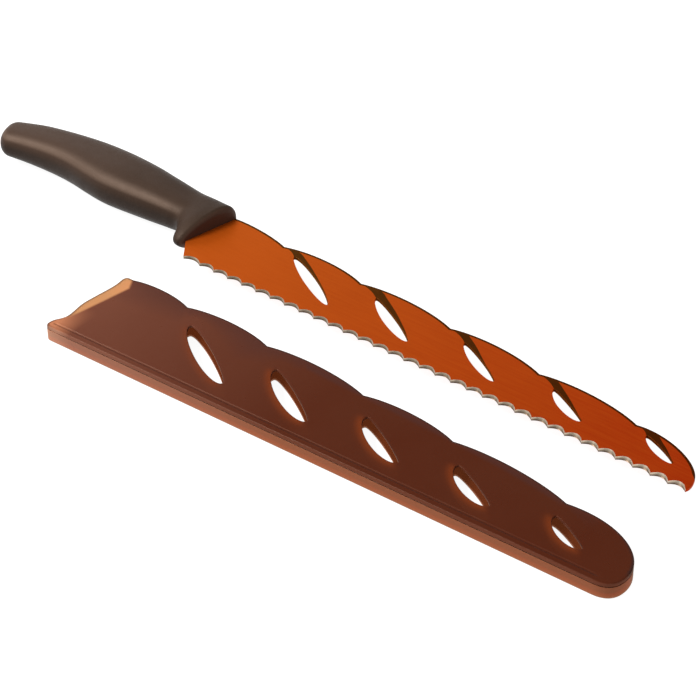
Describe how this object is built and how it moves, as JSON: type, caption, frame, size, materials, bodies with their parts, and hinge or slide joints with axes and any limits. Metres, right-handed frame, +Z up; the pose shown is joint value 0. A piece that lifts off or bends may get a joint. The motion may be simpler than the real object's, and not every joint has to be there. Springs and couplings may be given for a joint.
{
  "type": "bread knife with blade guard",
  "caption": "Coated serrated bread knife with a wavy spine, leaf-shaped windows and a soft curved handle, lying beside its see-through slide-on blade guard.",
  "frame": {"origin": "middle of the whole arrangement's box, on the table the knife and its guard lie on", "axes": "+X from the butt of the handle towards the point, +Y from the cutting edge towards the spine, +Z up from the table"},
  "size_m": [0.326, 0.0948, 0.0164],
  "materials": {
    "coated_blade": "satin non-stick coating on stamped steel, bare where the serrations are ground",
    "core_plastic": "plain moulded, hidden",
    "grip_plastic": "soft matte with a fine grain",
    "guard_upper_plastic": "glossy see-through smoky brown",
    "guard_lower_plastic": "glossy see-through smoky brown"
  },
  "bodies": {
    "knife": {"blade": "coated_blade", "handle_core": "core_plastic", "handle_grip": "grip_plastic"},
    "guard": {"guard_upper_shell": "guard_upper_plastic", "guard_lower_shell": "guard_lower_plastic"}
  },
  "joints": [
    {"name": "guard_slide", "type": "slide", "parent": "knife", "child": "guard", "axis": [0.9994, 0.0349, 0], "range_m": [0, 0.215]}
  ]
}
